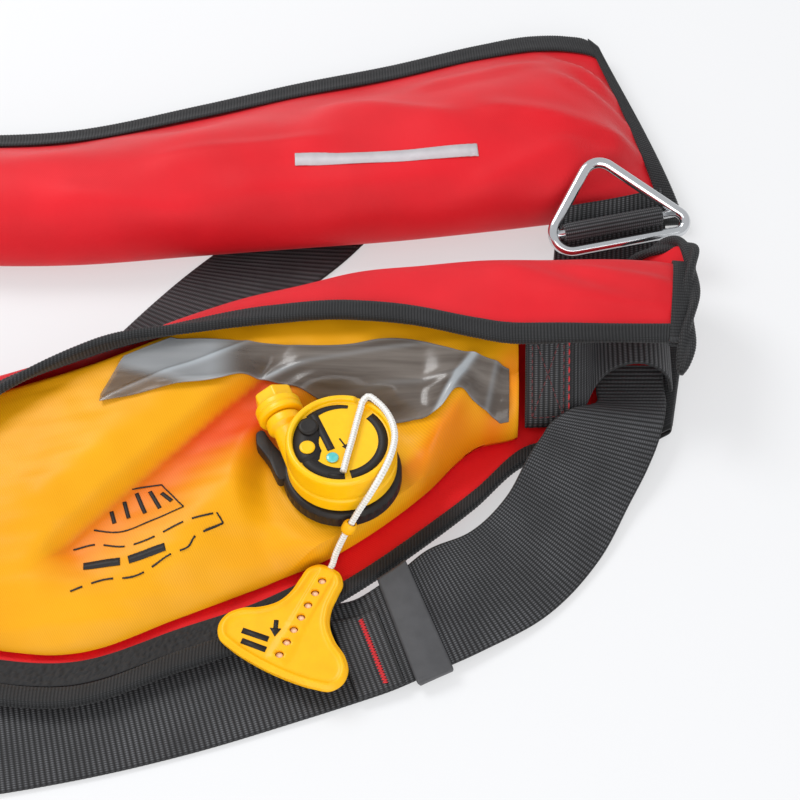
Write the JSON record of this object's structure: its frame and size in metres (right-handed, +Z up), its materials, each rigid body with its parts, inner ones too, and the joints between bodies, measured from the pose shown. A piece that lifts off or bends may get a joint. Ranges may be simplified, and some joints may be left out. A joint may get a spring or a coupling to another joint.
{
  "type": "inflatable harness life jacket",
  "caption": "Inflatable life jacket lying open: a U-shaped cloth cover round a folded bladder with its inflator, pull cord, webbing waist belt and steel lifting ring.",
  "frame": {"origin": "middle of the bounding box, on the surface that the jacket lies on", "axes": "+X along the lobes towards their open ends, +Y from the opened lobe to the closed lobe, +Z up"},
  "size_m": [0.5799, 0.447, 0.0613],
  "materials": {
    "cover_cloth": "coated woven cloth",
    "black_webbing": "ribbed webbing",
    "bladder_cloth": "coated cloth",
    "clear_film": "clear film",
    "black_plastic": "moulded",
    "yellow_plastic": "moulded",
    "teal_plastic": "moulded",
    "white_cord": "braided",
    "tab_plastic": "moulded",
    "grey_plastic": "moulded",
    "steel": "polished"
  },
  "bodies": {
    "jacket": {"cover": "cover_cloth", "front_binding": "black_webbing", "back_binding": "black_webbing", "far_end_binding": "black_webbing", "near_end_binding": "black_webbing", "loop_tape": "black_webbing", "bladder": "bladder_cloth", "window": "clear_film", "inflator_base": "black_plastic", "inflator_body": "yellow_plastic", "inlet_cap": "yellow_plastic", "arming_button": "black_plastic", "status_window": "teal_plastic", "pull_cord": "white_cord", "cord_bead": "tab_plastic", "pull_tab": "tab_plastic", "belt": "black_webbing", "belt_loop": "black_webbing", "anchor_patch": "black_webbing", "belt_fold": "black_webbing", "belt_keeper": "grey_plastic", "back_strap": "black_webbing", "ring_strap": "black_webbing", "ring_sleeve": "black_webbing"},
    "ring": {"lifting_ring": "steel"}
  },
  "joints": [
    {"name": "ring_swing", "type": "hinge", "parent": "jacket", "child": "ring", "pos_m": [0.25267, 0.07349, 0.02832], "axis": [0.9768, 0.2122, 0.0302], "range_deg": [0, 38]}
  ]
}
